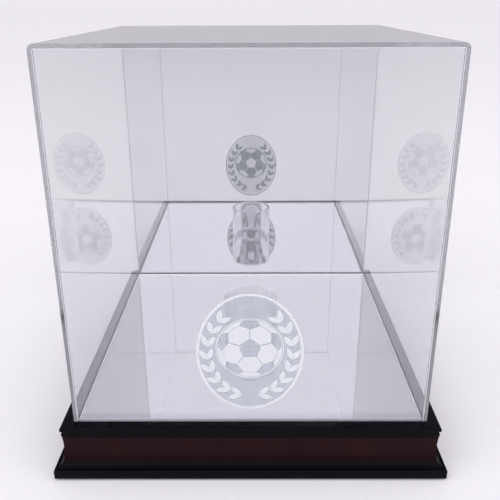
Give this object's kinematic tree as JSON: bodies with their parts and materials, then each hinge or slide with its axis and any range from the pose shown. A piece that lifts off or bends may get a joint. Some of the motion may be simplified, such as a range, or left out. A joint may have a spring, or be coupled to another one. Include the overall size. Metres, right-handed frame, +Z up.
{
  "type": "football display case",
  "caption": "Clear display case for a full-size football, with a lift-off cover, mirrored back and floor, a clear ball stand and a stepped wooden base.",
  "frame": {"origin": "centre of the footprint, on the surface that the four felt pads stand on", "axes": "+Z up, +X to the right as seen from the front, +Y towards the mirrored back"},
  "size_m": [0.3058, 0.3058, 0.3266],
  "materials": {
    "clear_acrylic": "gloss",
    "mirror_acrylic": "gloss",
    "black_lacquer": "gloss",
    "mahogany_lacquer": "gloss",
    "pine": "matte",
    "hardboard": "matte",
    "zinc_plate": "satin",
    "black_felt": "matte",
    "frosted_print": "matte"
  },
  "bodies": {
    "base": {"board_screw_back_left": "zinc_plate", "board_screw_back_right": "zinc_plate", "board_screw_front_left": "zinc_plate", "board_screw_front_right": "zinc_plate", "bottom_board": "hardboard", "corner_block_back_left": "pine", "corner_block_back_right": "pine", "corner_block_front_left": "pine", "corner_block_front_right": "pine", "cove_rail_back": "mahogany_lacquer", "cove_rail_front": "mahogany_lacquer", "cove_rail_left": "mahogany_lacquer", "cove_rail_right": "mahogany_lacquer", "floor_mirror": "mirror_acrylic", "foot_pad_back_left": "black_felt", "foot_pad_back_right": "black_felt", "foot_pad_front_left": "black_felt", "foot_pad_front_right": "black_felt", "plinth_rail_back": "black_lacquer", "plinth_rail_front": "black_lacquer", "plinth_rail_left": "black_lacquer", "plinth_rail_right": "black_lacquer", "top_board": "black_lacquer", "top_screw_back_left": "zinc_plate", "top_screw_back_right": "zinc_plate", "top_screw_front_left": "zinc_plate", "top_screw_front_right": "zinc_plate"},
    "cover": {"cover_wrap": "clear_acrylic", "cover_front": "clear_acrylic", "cover_back_mirror": "mirror_acrylic"},
    "stand": {"ball_stand": "clear_acrylic"}
  },
  "joints": [
    {"name": "cover_lift", "type": "slide", "parent": "base", "child": "cover", "axis": [0, 0, 1], "range_m": [0, 0.3]},
    {"name": "stand_lift", "type": "slide", "parent": "base", "child": "stand", "axis": [0, 0, 1], "range_m": [0, 0.12]}
  ]
}
